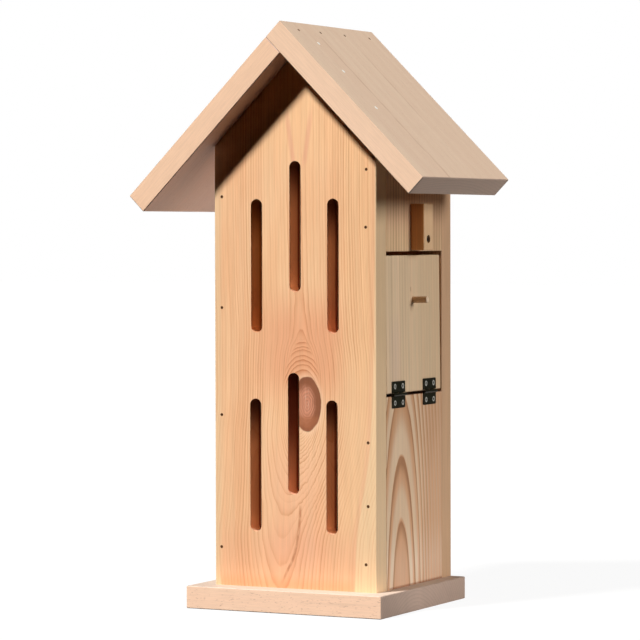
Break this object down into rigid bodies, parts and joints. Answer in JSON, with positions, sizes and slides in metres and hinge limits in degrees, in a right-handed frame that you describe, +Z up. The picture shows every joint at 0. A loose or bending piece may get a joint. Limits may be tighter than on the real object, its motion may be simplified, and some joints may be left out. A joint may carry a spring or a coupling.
{
  "type": "butterfly house",
  "caption": "Tall gabled wooden butterfly house: slotted front board, bottom-hinged side door with dowel knob and turn button, hollow inside, on a wide base board.",
  "frame": {"origin": "on the underside of the base board, midway between the left and right walls and between the front and back faces of the box", "axes": "+Z up along the height, +X to the right across the slotted front, +Y from the front to the back"},
  "size_m": [0.2891, 0.183, 0.5189],
  "materials": {
    "front_wood": "bare planed softwood, warm orange tan",
    "side_wood": "bare planed softwood, tan",
    "roof_wood": "bare planed hardwood, pinkish beige",
    "base_wood": "bare planed hardwood, pinkish beige",
    "door_wood": "bare planed softwood with fine straight grain",
    "dowel_wood": "bare round dowel",
    "button_wood": "bare sawn hardwood",
    "black_hinge": "semi-gloss black",
    "bright_screw": "zinc plated",
    "dark_screw": "dark, oxidised"
  },
  "bodies": {
    "house": {"base_board": "base_wood", "front_wall": "front_wood", "back_wall": "front_wood", "left_wall": "side_wood", "right_wall_lower": "side_wood", "right_wall_upper": "side_wood", "roof_board_left": "roof_wood", "roof_board_right": "roof_wood", "turn_button_screw": "dark_screw", "front_hinge_wall_leaf": "black_hinge", "front_hinge_pin": "black_hinge", "front_hinge_wall_screws": "bright_screw", "rear_hinge_wall_leaf": "black_hinge", "rear_hinge_pin": "black_hinge", "rear_hinge_wall_screws": "bright_screw"},
    "door": {"door_panel": "door_wood", "door_knob_dowel": "dowel_wood", "front_hinge_door_leaf": "black_hinge", "front_hinge_door_screws": "bright_screw", "rear_hinge_door_leaf": "black_hinge", "rear_hinge_door_screws": "bright_screw"},
    "button": {"turn_button": "button_wood"}
  },
  "joints": [
    {"name": "door_hinge", "type": "hinge", "parent": "house", "child": "door", "pos_m": [0.0815, 0, 0.19145], "axis": [0, 1, 0], "range_deg": [0, 165]},
    {"name": "turn_button_pivot", "type": "hinge", "parent": "house", "child": "button", "pos_m": [0.0803, 0.0015, 0.32837], "axis": [1, 0, 0], "range_deg": [0, 180]}
  ]
}
